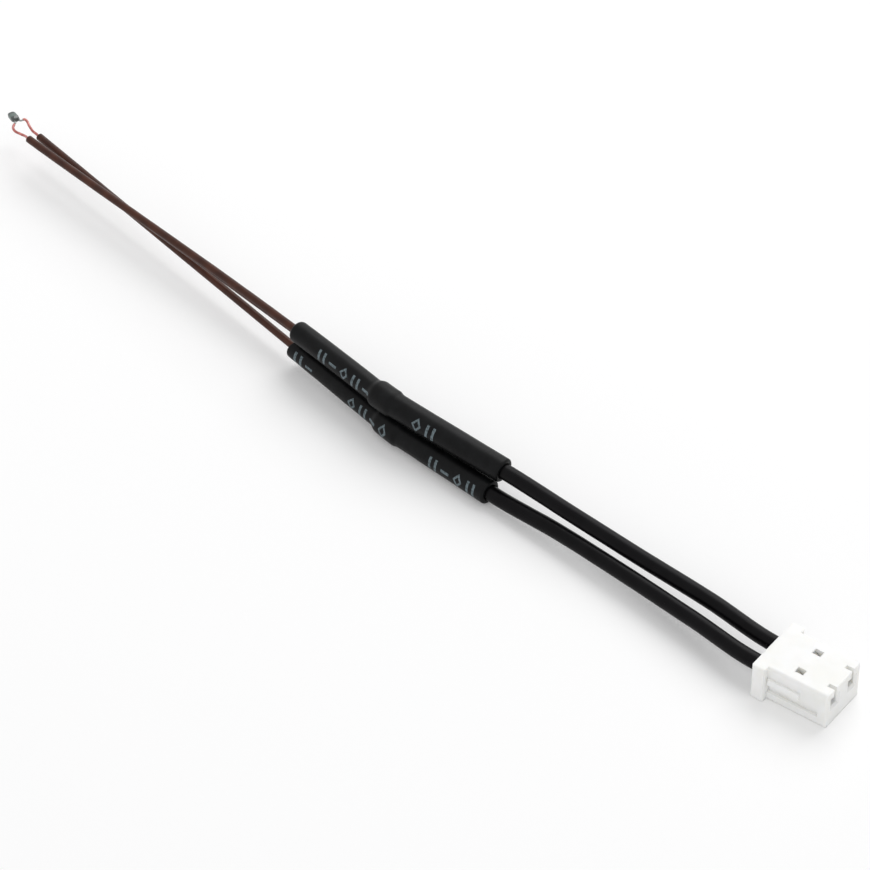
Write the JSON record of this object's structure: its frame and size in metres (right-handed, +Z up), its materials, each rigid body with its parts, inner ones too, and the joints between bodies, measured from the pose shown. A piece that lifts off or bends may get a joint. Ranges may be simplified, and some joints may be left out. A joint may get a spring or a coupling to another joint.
{
  "type": "thermistor",
  "caption": "Glass bead thermistor on fine sleeved leads, spliced under heat-shrink to short black wires that end in a small white crimp housing.",
  "frame": {"origin": "on the table, under the middle of the whole part", "axes": "+X along the part from the sensor bead to the mating face of the housing, +Y to the left circuit, +Z up from the table"},
  "size_m": [0.0716, 0.0142, 0.0035],
  "materials": {
    "housing_nylon": "satin, moulded",
    "contact_metal": "bright tin plate",
    "wire_insulation": "satin, extruded",
    "wire_copper": "tinned strands",
    "heat_shrink": "satin, shrunk",
    "solder": "dull",
    "sleeve_polyimide": "semi-gloss",
    "lead_wire": "satin copper-red",
    "bead_glass": "fire-polished, dark",
    "sensor_ceramic": "matte, sintered",
    "electrode_silver": "fired silver"
  },
  "bodies": {
    "root": {"connector_housing": "housing_nylon", "contact_left": "contact_metal", "contact_right": "contact_metal", "wire_insulation_left": "wire_insulation", "wire_insulation_right": "wire_insulation", "wire_core_left": "wire_copper", "wire_core_right": "wire_copper", "shrink_tube_left": "heat_shrink", "shrink_tube_right": "heat_shrink", "solder_joint_left": "solder", "solder_joint_right": "solder", "sleeve_left": "sleeve_polyimide", "sleeve_right": "sleeve_polyimide", "fine_lead_left": "lead_wire", "fine_lead_right": "lead_wire", "bead_glass": "bead_glass", "sensor_chip": "sensor_ceramic", "electrode_left": "electrode_silver", "electrode_right": "electrode_silver"}
  },
  "joints": []
}
